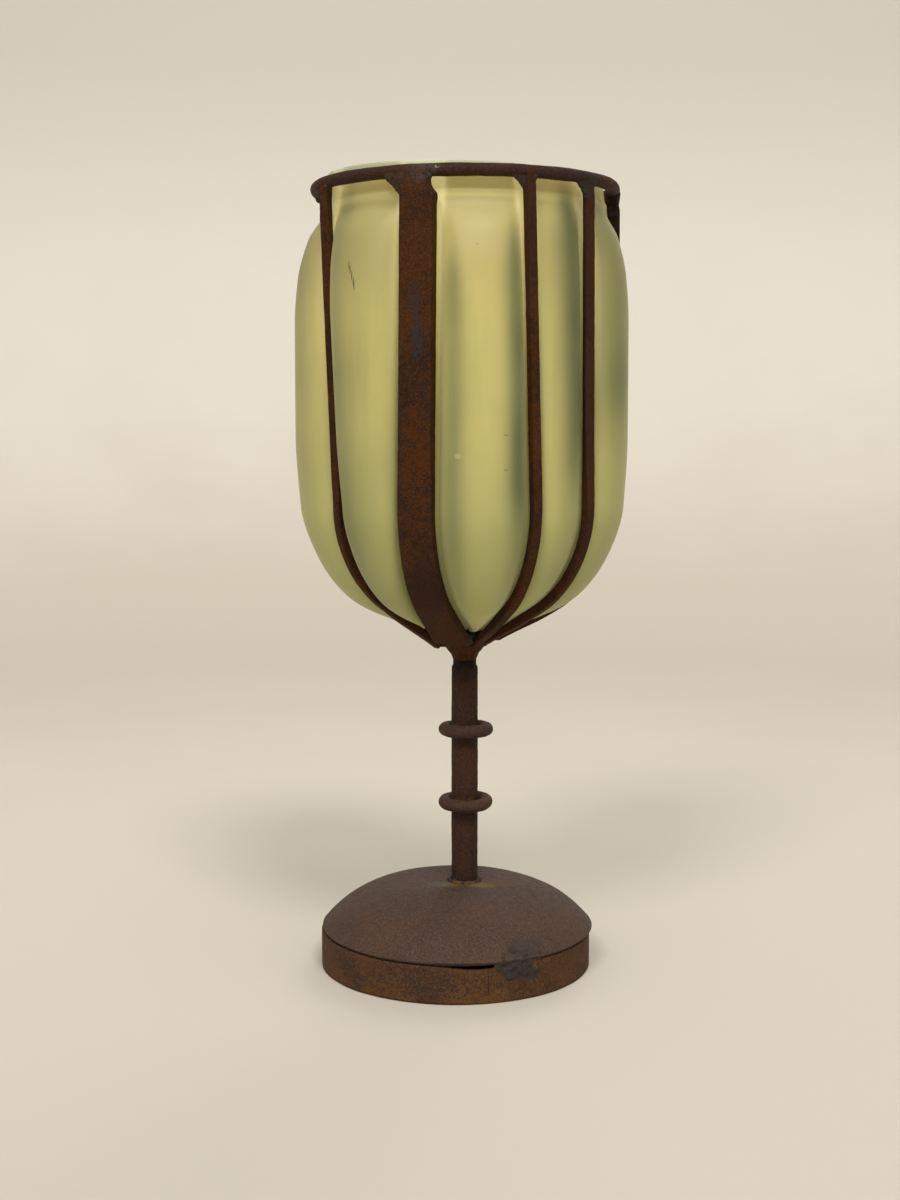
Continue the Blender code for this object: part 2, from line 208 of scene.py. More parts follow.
def mesh_object(name, points, faces):
    mesh = bpy.data.meshes.new(name)
    mesh.from_pydata(points, [], faces)
    mesh.shade_smooth()
    obj = bpy.data.objects.new(name, mesh)
    bpy.context.scene.collection.objects.link(obj)
    return obj


def loft(name, rows, cap_first=False, cap_last=False):
    """A surface through rows of points of equal length. A cap is a fan to the row's middle."""
    count = len(rows[0])
    points = [point for row in rows for point in row]
    faces = []
    for row in range(len(rows) - 1):
        for column in range(count):
            after = (column + 1) % count
            low = row * count
            high = low + count
            faces.append((low + column, low + after, high + after, high + column))
    for wanted, start in ((cap_first, 0), (cap_last, (len(rows) - 1) * count)):
        if not wanted:
            continue
        points.append(sum((points[start + i] for i in range(count)), Vector()) / count)
        for column in range(count):
            faces.append((start + column, start + (column + 1) % count, len(points) - 1))
    obj = mesh_object(name, points, faces)
    tidy_mesh(obj)
    return obj


def tidy_mesh(obj, merge=1e-6):
    """Merges what coincides and turns all faces outwards."""
    work = bmesh.new()
    work.from_mesh(obj.data)
    bmesh.ops.remove_doubles(work, verts=work.verts, dist=merge)
    bmesh.ops.recalc_face_normals(work, faces=work.faces)
    work.to_mesh(obj.data)
    work.free()
    obj.data.shade_smooth()


def turn(name, outline, steps, centre_x=0.0, closed=False):
    """A turned shape from (radius, height) pairs."""
    outline = list(outline) + ([outline[0]] if closed else [])
    azimuths = [360 * step / steps for step in range(steps)]
    rows = []
    for radius, height in outline:
        rows.append([polar(azimuth, radius, height, centre_x) for azimuth in azimuths])
    return loft(name, rows)


def rod_ring(name, radius, rod, centre, steps, sides=20, tilt=0.0):
    """A round rod bent into a ring, tilted about the X axis."""
    rows = []
    for step in range(steps):
        azimuth = 360 * step / steps
        row = []
        for side in range(sides):
            angle = 2 * math.pi * side / sides
            place = direction(azimuth) * (radius + rod * math.cos(angle))
            place.z = rod * math.sin(angle) + place.y * math.tan(math.radians(tilt))
            row.append(place + centre)
        rows.append(row)
    rows.append(rows[0])
    return loft(name, rows)


def uneven(point, size, seed=0):
    """Smooth random value from about -1 to 1, which changes over the given size."""
    return noise.noise(point / size + Vector((seed * 7.3, seed * 3.1, seed * 5.7)))


def roughen(obj, layers, seed=0):
    """Moves the surface in and out at random. Each layer is (height, size of its features)."""
    mesh = obj.data
    normals = [vertex.normal.copy() for vertex in mesh.vertices]
    for vertex, normal in zip(mesh.vertices, normals):
        place = vertex.co.copy()
        vertex.co = place + normal * sum(height * uneven(place, size, seed) for height, size in layers)
    mesh.update()


IRON_SURFACE = ((0.00009, 0.009), (0.00005, 0.0022), (0.00003, 0.0007))
HOOP_SURFACE = ((0.00016, 0.014), (0.00006, 0.0025), (0.00003, 0.0008))
DOME_SURFACE = ((0.00022, 0.020), (0.00007, 0.0030), (0.00003, 0.0009))
STEM_SURFACE = ((0.00012, 0.010), (0.00006, 0.0022), (0.00003, 0.0008))
RING_SURFACE = ((0.00020, 0.012), (0.00008, 0.0030), (0.00003, 0.0009))
FORGED_SURFACE = ((0.00035, 0.012), (0.00012, 0.004), (0.00004, 0.0011))
WELD_SURFACE = ((0.00030, 0.0030), (0.00012, 0.0011))
WAX_SURFACE = ((0.00025, 0.016), (0.00005, 0.003))


def bead(name, balls, grain=0.0003, seed=0, rounds=3):
    """Weld metal: (centre, radius) balls, run together into one lumpy body, softer with more rounds."""
    work = bmesh.new()
    add_balls(work, balls)
    mesh = bpy.data.meshes.new(name)
    work.to_mesh(mesh)
    work.free()
    obj = bpy.data.objects.new(name, mesh)
    bpy.context.scene.collection.objects.link(obj)
    run_together(obj, grain, rounds)
    roughen(obj, WELD_SURFACE, seed)
    return obj


def add_balls(work, balls):
    for centre, radius in balls:
        made = bmesh.ops.create_icosphere(work, subdivisions=2, radius=radius)
        bmesh.ops.translate(work, verts=made["verts"], vec=centre)


def run_together(obj, grain, rounds):
    """Joins what overlaps in the object into one skin, and softens its seams."""
    remesh = obj.modifiers.new("one_skin", "REMESH")
    remesh.mode = "VOXEL"
    remesh.voxel_size = grain
    remesh.use_smooth_shade = True
    soften = obj.modifiers.new("soften", "SMOOTH")
    soften.iterations = rounds
    apply_modifiers(obj)


def apply_modifiers(obj):
    graph = bpy.context.evaluated_depsgraph_get()
    made = bpy.data.meshes.new_from_object(obj.evaluated_get(graph))
    obj.modifiers.clear()
    old = obj.data
    obj.data = made
    bpy.data.meshes.remove(old)
    obj.data.shade_smooth()


def finish_piece(obj, material, body, slot, *nodes):
    """Gives the piece its material, and puts it on its body in place of the frame's nodes. Its slot is not
    used.
    """
    obj.data.materials.clear()
    obj.data.materials.append(material)
    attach(obj, body)
    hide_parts(*nodes)
    return obj


# Material helpers


class Nodes:
    """A material's node tree, with short calls for the nodes used here."""

    def __init__(self, name):
        self.material = bpy.data.materials.new(name)
        self.material.use_nodes = True
        self.tree = self.material.node_tree
        self.shader = self.tree.nodes["Principled BSDF"]
        self.place = self.add("ShaderNodeTexCoord").outputs["Object"]

    def add(self, kind, **settings):
        node = self.tree.nodes.new(kind)
        for key, value in settings.items():
            setattr(node, key, value)
        return node

    def feed(self, socket, value):
        if isinstance(value, bpy.types.NodeSocket):
            self.tree.links.new(value, socket)
        else:
            socket.default_value = value

    def noise(self, size, detail=4.0, roughness=0.55, stretch=None):
        """Noise from 0 to 1 whose features have this size in metres."""
        node = self.add("ShaderNodeTexNoise")
        self.feed(node.inputs["Vector"], self.stretched(stretch) if stretch else self.place)
        node.inputs["Scale"].default_value = 1 / size
        node.inputs["Detail"].default_value = detail
        node.inputs["Roughness"].default_value = roughness
        return node.outputs["Fac"]

    def stretched(self, factors):
        node = self.add("ShaderNodeVectorMath", operation="MULTIPLY")
        self.feed(node.inputs[0], self.place)
        node.inputs[1].default_value = factors
        return node.outputs["Vector"]

    def remap(self, value, low, high, to_low=0.0, to_high=1.0):
        """A smooth step from to_low, where the value is low, to to_high, where it is high."""
        node = self.add("ShaderNodeMapRange", interpolation_type="SMOOTHSTEP")
        for key, number in (("Value", value), ("From Min", low), ("From Max", high)):
            self.feed(node.inputs[key], number)
        node.inputs["To Min"].default_value = to_low
        node.inputs["To Max"].default_value = to_high
        return node.outputs["Result"]

    def maths(self, operation, first, second=0.0):
        node = self.add("ShaderNodeMath", operation=operation)
        self.feed(node.inputs[0], first)
        self.feed(node.inputs[1], second)
        return node.outputs["Value"]

    def mix(self, share, first, second):
        node = self.add("ShaderNodeMix", data_type="RGBA")
        self.feed(node.inputs["Factor"], share)
        for socket, colour in ((node.inputs[6], first), (node.inputs[7], second)):
            self.feed(socket, colour if isinstance(colour, bpy.types.NodeSocket) else (*colour, 1))
        return node.outputs[2]

    def height(self):
        node = self.add("ShaderNodeSeparateXYZ")
        self.feed(node.inputs["Vector"], self.place)
        return node.outputs["Z"]

    def attribute(self, name):
        return self.add("ShaderNodeAttribute", attribute_name=name).outputs["Fac"]

    def spot(self, centre, radii, raggedness=0.5):
        """1 inside an ellipsoid and 0 outside, with a ragged edge."""
        offset = self.add("ShaderNodeVectorMath", operation="SUBTRACT")
        self.feed(offset.inputs[0], self.place)
        offset.inputs[1].default_value = centre
        scaled = self.add("ShaderNodeVectorMath", operation="DIVIDE")
        self.feed(scaled.inputs[0], offset.outputs["Vector"])
        scaled.inputs[1].default_value = radii
        length = self.add("ShaderNodeVectorMath", operation="LENGTH")
        self.feed(length.inputs[0], scaled.outputs["Vector"])
        ragged = self.maths("MULTIPLY", self.noise(0.003, 5), raggedness)
        reach = self.maths("ADD", length.outputs["Value"], ragged)
        return self.remap(reach, 0.55 + raggedness / 2, 1.0 + raggedness / 2, 1.0, 0.0)

    def bump(self, height, distance, strength=1.0, normal=None):
        node = self.add("ShaderNodeBump")
        node.inputs["Strength"].default_value = strength
        node.inputs["Distance"].default_value = distance
        self.feed(node.inputs["Height"], height)
        if normal is not None:
            self.feed(node.inputs["Normal"], normal)
        return node.outputs["Normal"]

    def set(self, **values):
        """Sets or links the shader's inputs. An underscore stands for a space."""
        for key, value in values.items():
            self.feed(self.shader.inputs[key.replace("_", " ")], value)


class ColourPatch(NamedTuple):
    """A patch of another colour on the iron."""

    centre: Vector
    radii: tuple
    colour: tuple
    strength: float


# Sizes of the rust's broad patches, of its mottling and of its grain
PATCH_SIZE = 0.022
MOTTLE_SIZE = 0.0024
GRAIN_SIZE = 0.0007


def rusted_iron(name, dark, rust, pale, sheen=0.12, colour_patches=(), rust_share=0.5):
    """Bare iron with an even coat of fine brown rust, paler and darker specks, and stains and painted
    shade.
    """
    nodes = Nodes(name)
    patches = nodes.noise(PATCH_SIZE, 3)
    broad = nodes.remap(patches, 0.30, 0.70, rust_share - 0.35, rust_share + 0.35)
    mottle = nodes.noise(MOTTLE_SIZE, 5, 0.7)
    grain = nodes.noise(GRAIN_SIZE, 3, 0.75)
    pits = tuple(0.35 * channel for channel in dark)
    share = nodes.maths("ADD", broad, nodes.remap(mottle, 0.36, 0.64, -0.30, 0.30))
    colour = nodes.mix(nodes.remap(share, 0.0, 1.0), dark, rust)
    colour = nodes.mix(nodes.remap(grain, 0.52, 0.68, 0.0, 0.5), colour, pale)
    colour = nodes.mix(nodes.remap(grain, 0.48, 0.34, 0.0, 0.65), colour, pits)
    broken = nodes.remap(nodes.maths("ADD", mottle, grain), 0.80, 1.06)
    for patch in colour_patches:
        cover = nodes.spot(patch.centre, patch.radii, 0.9)
        cover = nodes.maths("MULTIPLY", nodes.maths("MULTIPLY", cover, broken), patch.strength)
        colour = nodes.mix(cover, colour, patch.colour)
    normal = nodes.bump(grain, 0.00015, 0.8)
    normal = nodes.bump(mottle, 0.0003, 0.5, normal)
    nodes.set(
        Base_Color=colour,
        Roughness=nodes.remap(mottle, 0.3, 0.7, 0.62, 0.88),
        Specular_IOR_Level=sheen,
        Normal=normal,
    )
    return nodes.material


DARK = (0.026, 0.011, 0.006)
MAUVE = (0.034, 0.016, 0.012)
RUST = (0.062, 0.021, 0.004)
PALE = (0.095, 0.052, 0.032)
ORANGE = (0.132, 0.056, 0.015)
YELLOW_RUST = (0.190, 0.110, 0.030)
BLUE_GREY = (0.025, 0.029, 0.031)
GREEN_GREY = (0.085, 0.082, 0.060)
SHADE_BLACK = (0.007, 0.005, 0.004)
WARM_FLANK = (0.098, 0.025, 0.002)
OLIVE_FLANK_SHADE = (0.024, 0.015, 0.006)
GREY_JOINT = (0.070, 0.056, 0.046)
BRIGHT_CHIP = (0.30, 0.27, 0.20)
RED_RUST = (0.072, 0.021, 0.002)

# Each piece's iron: darkest, rusty and palest colour.
BAR_IRON = (DARK, RUST, PALE)
RING_IRON = (MAUVE, RUST, PALE)
STEM_IRON = ((0.027, 0.013, 0.009), (0.048, 0.018, 0.007), PALE)
COLLAR_IRON = ((0.050, 0.026, 0.019), (0.070, 0.032, 0.016), PALE)
BAND_IRON = ((0.048, 0.025, 0.016), (0.086, 0.038, 0.015), (0.15, 0.10, 0.065))
DOME_IRON = ((0.056, 0.033, 0.024), (0.074, 0.040, 0.025), (0.14, 0.10, 0.078))
WELD_METAL = ((0.032, 0.021, 0.016), (0.060, 0.027, 0.013), (0.10, 0.08, 0.06))

# Rust round the hoop's foot: (azimuth, width, strength).
FOOT_RUST = (
    (3, 0.011, 0.5),
    (17, 0.006, 0.6),
    (-30, 0.014, 0.35),
    (50, 0.012, 0.25),
    (120, 0.015, 0.6),
    (170, 0.010, 0.7),
    (235, 0.018, 0.6),
    (300, 0.012, 0.5),
)


def tack_stains():
    """The blue-grey heat tint round the front tack weld, and a fleck of rust beside it."""
    return [
        ColourPatch(polar(27, 0.0515, 0.0115, BAND_X), (0.0105, 0.0120, 0.0058), BLUE_GREY, 0.85),
        ColourPatch(polar(29, 0.0495, 0.0185, DOME_X), (0.0100, 0.0080, 0.0045), BLUE_GREY, 0.55),
        ColourPatch(polar(34, 0.0508, 0.0125, BAND_X), (0.0026, 0.0032, 0.0020), ORANGE, 0.7),
    ]


def hoop_stains():
    """The hoop's closed seam, and the rust round its foot."""
    colour_patches = [ColourPatch(polar(13, 0.0510, 0.0060, BAND_X), (0.0004, 0.0030, 0.0070), DARK, 0.8)]
    for azimuth, width, strength in FOOT_RUST:
        place = polar(azimuth, 0.0508, 0.0012, BAND_X)
        colour_patches.append(ColourPatch(place, (width, width, 0.0050), ORANGE, strength))
    return colour_patches


def foot_stains():
    """Rust and a green-grey mark on the dome round the stem's foot."""
    return [
        ColourPatch(Vector((-0.0093, -0.0057, DOME_TOP_Z)), (0.0062, 0.0042, 0.0030), GREEN_GREY, 0.8),
        ColourPatch(Vector((0.0058, -0.0074, DOME_TOP_Z)), (0.0066, 0.0038, 0.0022), YELLOW_RUST, 0.6),
        ColourPatch(Vector((-0.0040, -0.0070, DOME_TOP_Z)), (0.0060, 0.0034, 0.0022), YELLOW_RUST, 0.5),
        ColourPatch(Vector((0.0120, -0.0040, DOME_TOP_Z)), (0.0080, 0.0060, 0.0030), ORANGE, 0.25),
    ]


def cage_stains_and_shade():
    """Scale, heat marks, weld marks and painted shade on the bars and the ring."""
    return [
        ColourPatch(polar(-16.5, 0.0574, 0.2330), (0.0032, 0.0030, 0.0085), BLUE_GREY, 0.85),
        ColourPatch(polar(-17.5, 0.0574, 0.2450), (0.0030, 0.0030, 0.0080), BLUE_GREY, 0.5),
        # painted shade down the front wide bar's right flank
        ColourPatch(polar(-10.2, 0.0545, 0.2350), (0.0007, 0.0030, 0.0600), OLIVE_FLANK_SHADE, 0.9),
        ColourPatch(polar(20.9, 0.0545, 0.2600), (0.0010, 0.0030, 0.0250), WARM_FLANK, 0.9),
        ColourPatch(polar(22.2, 0.0545, 0.2150), (0.0010, 0.0030, 0.0300), WARM_FLANK, 0.9),
        ColourPatch(polar(-17.5, 0.0574, 0.1900), (0.0070, 0.0050, 0.0280), RED_RUST, 0.5),
        # a greyish patch where the front wide bar meets the ring
        ColourPatch(polar(-16, 0.0570, 0.2880), (0.0080, 0.0050, 0.0045), GREY_JOINT, 0.6),
        ColourPatch(polar(-10, 0.0562, 0.2893), (0.0010, 0.0012, 0.0010), BRIGHT_CHIP, 0.9),
        ColourPatch(polar(8, 0.0120, 0.1275), (0.0060, 0.0050, 0.0035), BLUE_GREY, 0.9),
        ColourPatch(polar(-18, 0.0150, 0.1290), (0.0060, 0.0050, 0.0030), BLUE_GREY, 0.7),
        ColourPatch(polar(52, 0.0570, 0.2860), (0.0060, 0.0060, 0.0060), BLUE_GREY, 0.6),
        # painted shade: the right bar darker down its length
        ColourPatch(polar(51, 0.0570, 0.2300), (0.0070, 0.0070, 0.0700), MAUVE, 0.8),
        ColourPatch(polar(23, 0.0570, 0.2700), (0.0060, 0.0050, 0.0300), MAUVE, 0.5),
        ColourPatch(polar(-18, 0.0450, 0.1450), (0.0080, 0.0200, 0.0200), MAUVE, 0.6),
        # painted shade, near black, at the right wide bar's top by the ring
        ColourPatch(polar(92, 0.0550, 0.2750), (0.0090, 0.0090, 0.0170), SHADE_BLACK, 0.9),
        ColourPatch(polar(215, 0.0574, 0.2500), (0.0040, 0.0040, 0.0150), BLUE_GREY, 0.6),
        ColourPatch(polar(97, 0.0574, 0.2100), (0.0040, 0.0040, 0.0120), BLUE_GREY, 0.5),
    ]


def stem_stains_and_shade():
    """Painted shade, near black, at the stem's top under the cup, and rust on top of each of its rings."""
    # painted shade under the cup, at the stem's top
    colour_patches = [ColourPatch(Vector((0, 0, 0.1130)), (0.0075, 0.0075, 0.0085), SHADE_BLACK, 0.9)]
    for node in ("stem_ring_lower", "stem_ring_upper"):
        low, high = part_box(node)
        top = (low.z + high.z) / 2 + 0.0016
        colour_patches.append(ColourPatch(Vector((0, 0, top)), (0.0072, 0.0072, 0.0022), ORANGE, 0.55))
    return colour_patches


def make_materials():
    hoop = tack_stains() + hoop_stains()
    dome = tack_stains() + foot_stains()
    weld = cage_stains_and_shade() + foot_stains() + tack_stains()
    return {
        "bar": rusted_iron("rusted_bar", *BAR_IRON, colour_patches=cage_stains_and_shade(), rust_share=0.6),
        "ring": rusted_iron("rusted_ring", *RING_IRON, 0.2, cage_stains_and_shade(), rust_share=0.15),
        "stem": rusted_iron("rusted_stem", *STEM_IRON, 0.2, stem_stains_and_shade(), rust_share=0.4),
        "collar": rusted_iron("rusted_collar", *COLLAR_IRON, 0.2, rust_share=0.3),
        "band": rusted_iron("rusted_band", *BAND_IRON, colour_patches=hoop),
        "dome": rusted_iron("rusted_dome", *DOME_IRON, 0.25, dome, rust_share=0.3),
        "weld": rusted_iron("weld_metal", *WELD_METAL, 0.2, weld, rust_share=0.4),
        "glass": frosted_glass(),
        "wax": candle_wax_material(),
        "wick": wick_material(),
    }


CREAM = (0.81, 0.74, 0.300)
CLOUDED = (0.62, 0.62, 0.245)
STREAKED = (0.56, 0.60, 0.27)
SHADE_GREEN = (0.125, 0.152, 0.065)
GLOW_COLOUR = (0.92, 0.84, 0.46)
LIP_GREEN = (0.62, 0.66, 0.46)
SPECKS = (0.36, 0.32, 0.16)
SCRATCHED = (0.12, 0.11, 0.05)
# How the glass changes with height: (height where it starts, height where it is full, share, colour).
SHADES = (
    (0.220, 0.150, 0.75, (0.55, 0.57, 0.235)),
    (0.230, 0.268, 0.90, (0.61, 0.55, 0.24)),
    # a paler neck: painted light where the ring's shadow falls on it
    (0.2785, 0.2815, 0.80, (0.86, 0.78, 0.38)),
)
GLASS_MARKS = (
    ColourPatch(polar(3.4, 0.0610, 0.2634), (0.0007, 0.0030, 0.0007), (0.30, 0.26, 0.10), 0.8),
    ColourPatch(polar(12.7, 0.0600, 0.2002), (0.0014, 0.0030, 0.0004), (0.20, 0.19, 0.08), 0.7),
    ColourPatch(polar(12.8, 0.0600, 0.1885), (0.0009, 0.0030, 0.0006), (0.26, 0.24, 0.10), 0.6),
    ColourPatch(polar(-2.8, 0.0620, 0.1932), (0.0016, 0.0040, 0.0013), (0.75, 0.70, 0.35), 0.6),
    ColourPatch(polar(34.7, 0.0600, 0.1910), (0.0028, 0.0040, 0.0042), (0.16, 0.19, 0.08), 0.5),
    ColourPatch(polar(63.6, 0.0620, 0.1954), (0.0012, 0.0040, 0.0005), (0.80, 0.78, 0.60), 0.8),
)
# The long scratch: (azimuth, height) along it.
SCRATCH = ((-40.8, 0.2578), (-40.3, 0.2560), (-39.6, 0.2541), (-38.9, 0.2520), (-38.6, 0.2505))


def frosted_glass():
    """Acid-frosted pale yellow-green glass, with painted shade in deeper green bands down the lobes.

    Beside the bars is painted light, a paler colour and a faint glow, for the light it carries from inside.
    """
    nodes = Nodes("frosted_glass")
    height = nodes.height()
    cloud = nodes.remap(nodes.noise(0.026, 4, 0.55, (1, 1, 0.5)), 0.36, 0.68)
    streak = nodes.remap(nodes.noise(0.007, 4, 0.55, (1, 1, 0.10)), 0.40, 0.68)
    colour = nodes.mix(nodes.maths("MULTIPLY", cloud, 0.45), CREAM, CLOUDED)
    colour = nodes.mix(nodes.maths("MULTIPLY", streak, 0.40), colour, STREAKED)
    for start, full, share, shade in SHADES:
        colour = nodes.mix(nodes.remap(height, start, full, 0.0, share), colour, shade)
    # painted shade: deep green bands where the lobes' walls turn from the light
    colour = nodes.mix(nodes.attribute("green"), colour, SHADE_GREEN)
    # painted light: a paler colour beside the bars
    painted_glow = nodes.attribute("painted_glow")
    colour = nodes.mix(painted_glow, colour, GLOW_COLOUR)
    colour = nodes.mix(nodes.remap(height, 0.2885, 0.2900), colour, LIP_GREEN)
    specks = nodes.remap(nodes.noise(0.0011, 2), 0.72, 0.78, 0.0, 0.4)
    colour = nodes.mix(specks, colour, SPECKS)
    marks = list(GLASS_MARKS)
    for azimuth, z in SCRATCH:
        marks.append(ColourPatch(polar(azimuth, 0.0610, z), (0.00025, 0.0030, 0.0022), SCRATCHED, 0.9))
    for mark in marks:
        cover = nodes.maths("MULTIPLY", nodes.spot(mark.centre, mark.radii, 0.2), mark.strength)
        colour = nodes.mix(cover, colour, mark.colour)
    frost = nodes.noise(0.0006, 3, 0.6)
    waves = nodes.noise(0.011, 2, 0.4, (1, 1, 0.25))
    normal = nodes.bump(frost, 0.00003, 0.5)
    normal = nodes.bump(waves, 0.0005, 0.5, normal)
    nodes.set(
        Base_Color=colour,
        Roughness=nodes.remap(frost, 0.3, 0.7, 0.42, 0.56),
        Transmission_Weight=0.30,
        IOR=1.45,
        Subsurface_Weight=0.7,
        Subsurface_Radius=(1.0, 0.9, 0.6),
        Subsurface_Scale=0.006,
        Emission_Color=colour,
        # painted glow beside the bars, though the glass is no lamp
        Emission_Strength=nodes.maths("MULTIPLY", painted_glow, 0.20),
        Normal=normal,
    )
    nodes.material.cycles.emission_sampling = "NONE"
    return nodes.material


def candle_wax_material():
    nodes = Nodes("ivory_wax")
    cloud = nodes.noise(0.012, 4)
    colour = nodes.mix(nodes.remap(cloud, 0.35, 0.65), (0.80, 0.74, 0.58), (0.76, 0.69, 0.51))
    normal = nodes.bump(nodes.noise(0.002, 4), 0.0002, 0.4)
    nodes.set(
        Base_Color=colour,
        Roughness=nodes.remap(cloud, 0.3, 0.7, 0.32, 0.5),
        Subsurface_Weight=0.35,
        Subsurface_Scale=0.006,
        Normal=normal,
    )
    return nodes.material


def wick_material():
    nodes = Nodes("cotton_wick")
    threads = nodes.noise(0.0006, 3, 0.5, (1, 1, 0.5))
    burnt = nodes.remap(nodes.height(), CANDLE_TOP_Z + 0.002, CANDLE_TOP_Z + 0.006)
    colour = nodes.mix(threads, (0.34, 0.30, 0.23), (0.20, 0.17, 0.12))
    colour = nodes.mix(burnt, colour, (0.016, 0.014, 0.012))
    nodes.set(Base_Color=colour, Roughness=0.9, Normal=nodes.bump(threads, 0.0003, 0.8))
    return nodes.material


# Base


def make_band(look):
    """The hoop, with a slightly wavy upper edge that sags beside the front tack weld."""
    low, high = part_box("base_band")
    radius = (high.x - low.x) / 2
    height = high.z
    inner = radius - BAND_WALL
    edge = 0.0004
    side = [(radius, edge + (height - 2 * edge) * step / 16) for step in range(16, -1, -1)]
    inside = [(inner, edge + (height - 2 * edge) * step / 8) for step in range(9)]
    top = [(radius - edge, height)]
    foot = [(radius - edge, 0), (inner + edge, 0)]
    outline = top + side + foot + inside + [(inner + edge, height)]
    band = turn("hoop", outline, ROUND_STEPS, BAND_X, closed=True)
    for vertex in band.data.vertices:
        azimuth = azimuth_of(vertex.co)
        sag = SAG * bell(azimuth, SAG_AZIMUTH, SAG_WIDTH) + 0.0003 * uneven(vertex.co, 0.03, seed=4)
        vertex.co.z -= sag * ease(vertex.co.z, 0.006, height)
    roughen(band, HOOP_SURFACE, seed=2)
    flatten_foot(band)
    return finish_piece(band, look["band"], "stand", "iron", "base_band")


def azimuth_of(place):
    """The azimuth of a place as seen from the hoop's axis."""
    return math.degrees(math.atan2(place.x - BAND_X, -place.y))


def flatten_foot(obj):
    """Puts back at the floor what the rough surface moved below it."""
    for vertex in obj.data.vertices:
        vertex.co.z = max(vertex.co.z, 0.0)


def make_dome(look):
    """The pressed dome, with a softened rim and its inner face."""
    steps = 60
    outer = []
    for step in range(steps + 1):
        share = math.sin(math.pi / 2 * step / steps)
        height = DOME_RIM_Z + (DOME_TOP_Z - DOME_RIM_Z) * (1 - share**DOME_POWER)
        outer.append((DOME_RADIUS * share, height))
    inner = [(radius * (1 - DOME_WALL / DOME_RADIUS), height - DOME_WALL) for radius, height in outer]
    rim = [(DOME_RADIUS - 0.0001, DOME_RIM_Z - 0.0004), (DOME_RADIUS - 0.0008, DOME_RIM_Z - 0.0010)]
    dome = turn("dome", outer + rim + inner[::-1], ROUND_STEPS, DOME_X)
    roughen(dome, DOME_SURFACE, seed=5)
    return finish_piece(dome, look["dome"], "stand", "dome", "base_dome")


def make_tacks(look):
    """Runs of weld metal across the joint between hoop and dome, with a drooping lower edge."""
    for place, (spread, shift) in TACKS.items():
        node = f"base_tack_weld_{place}"
        low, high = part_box(node)
        azimuth = shift + azimuth_of((low + high) / 2)
        balls = []
        for step in range(9):
            along = (step - 4) / 4
            round_off = 1 - along * along
            for level in range(4):
                waver = 0.0009 * math.sin(step * 1.9 + level * 2.6)
                height = TACK_LOW_Z + TACK_PITCH * level + waver
                if abs(height - TACK_MIDDLE_Z) > TACK_PITCH + 0.0030 * round_off:
                    continue
                inward = 0.9 * max(height - DOME_RIM_Z, 0)
                centre = polar(azimuth + spread * along, TACK_RADIUS - inward, height, BAND_X)
                size = 0.0016 + 0.0003 * round_off + 0.0003 * math.cos(step * 2.7 + level * 1.7)
                balls.append((centre, size))
        obj = bead(f"tack_{place}", balls, seed=5, rounds=14)
        finish_piece(obj, look["weld"], "stand", "weld", node)


# Stem


def make_stem(look):
    """The rod. Its foot is sunk in the dome, and its thinner top runs up into the hub."""
    low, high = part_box("stem")
    steps = 70
    foot = low.z - 0.0006
    top = high.z + 0.002
    shoulder = high.z - 0.0024
    neck = STEM_RADIUS - 0.0006
    outline = [(0, foot), (STEM_RADIUS, foot)]
    for step in range(steps + 1):
        outline.append((STEM_RADIUS, low.z + (shoulder - low.z) * step / steps))
    outline += [(STEM_RADIUS - 0.0002, shoulder + 0.0006), (neck, shoulder + 0.0012), (neck, top), (0, top)]
    stem = turn("rod", outline, 64)
    roughen(stem, STEM_SURFACE, seed=3)
    return finish_piece(stem, look["stem"], "stand", "iron", "stem")


def make_foot_weld(look):
    """A thin uneven bead round the stem's foot."""
    balls = []
    steps = 26
    for step in range(steps):
        azimuth = 360 * step / steps
        size = 0.0009 + 0.00035 * math.sin(step * 2.1) * math.cos(step * 0.7)
        balls.append((polar(azimuth, STEM_RADIUS + 0.0006, DOME_TOP_Z + 0.0002), size))
    obj = bead("foot_bead", balls, 0.00025, seed=6)
    return finish_piece(obj, look["weld"], "stand", "weld", "stem_foot_weld")


def make_stem_rings(look):
    for place, tilt in (("lower", 1.6), ("upper", -0.8)):
        node = f"stem_ring_{place}"
        low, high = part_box(node)
        centre = (low + high) / 2
        ring = rod_ring(f"collar_{place}", STEM_RING_RADIUS, STEM_RING_ROD, centre, 84, 24, tilt)
        roughen(ring, FORGED_SURFACE, seed=8 + tilt)
        finish_piece(ring, look["collar"], "stand", "iron", node)


# Cage


def make_hub(look):
    """The flared stub, with the weld metal that the bars' ends sit in."""
    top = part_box("cage_hub")[1].z
    outline = smooth_curve(HUB_HEIGHTS, HUB_RADII)
    steps = 24
    profile = [(0, HUB_BOTTOM_Z)]
    for step in range(steps + 1):
        height = HUB_BOTTOM_Z + (HUB_RIM_Z - HUB_BOTTOM_Z) * step / steps
        profile.append((outline(height), height))
    profile += [(0.0070, top), (0, top)]
    hub = turn("hub_cone", profile, 48)
    lumps = [
        (polar(4, 0.0105, 0.1262), 0.0026),
        (polar(12, 0.0112, 0.1270), 0.0020),
        (polar(-4, 0.0112, 0.1268), 0.0022),
    ]
    for name, rib in RIBS.items():
        if name == "left":
            lumps.append((polar(rib.belly, 0.0074, 0.1250), 0.0020))
            continue
        lumps.append((polar(rib.belly, 0.0085, 0.1240), 0.0024))
        lumps.append((polar(rib.belly, 0.0105, 0.1256), 0.0019))
    work = bmesh.new()
    work.from_mesh(hub.data)
    add_balls(work, lumps)
    work.to_mesh(hub.data)
    work.free()
    run_together(hub, grain=0.0003, rounds=4)
    roughen(hub, WELD_SURFACE, seed=9)
    return finish_piece(hub, look["bar"], "stand", "iron", "cage_hub")


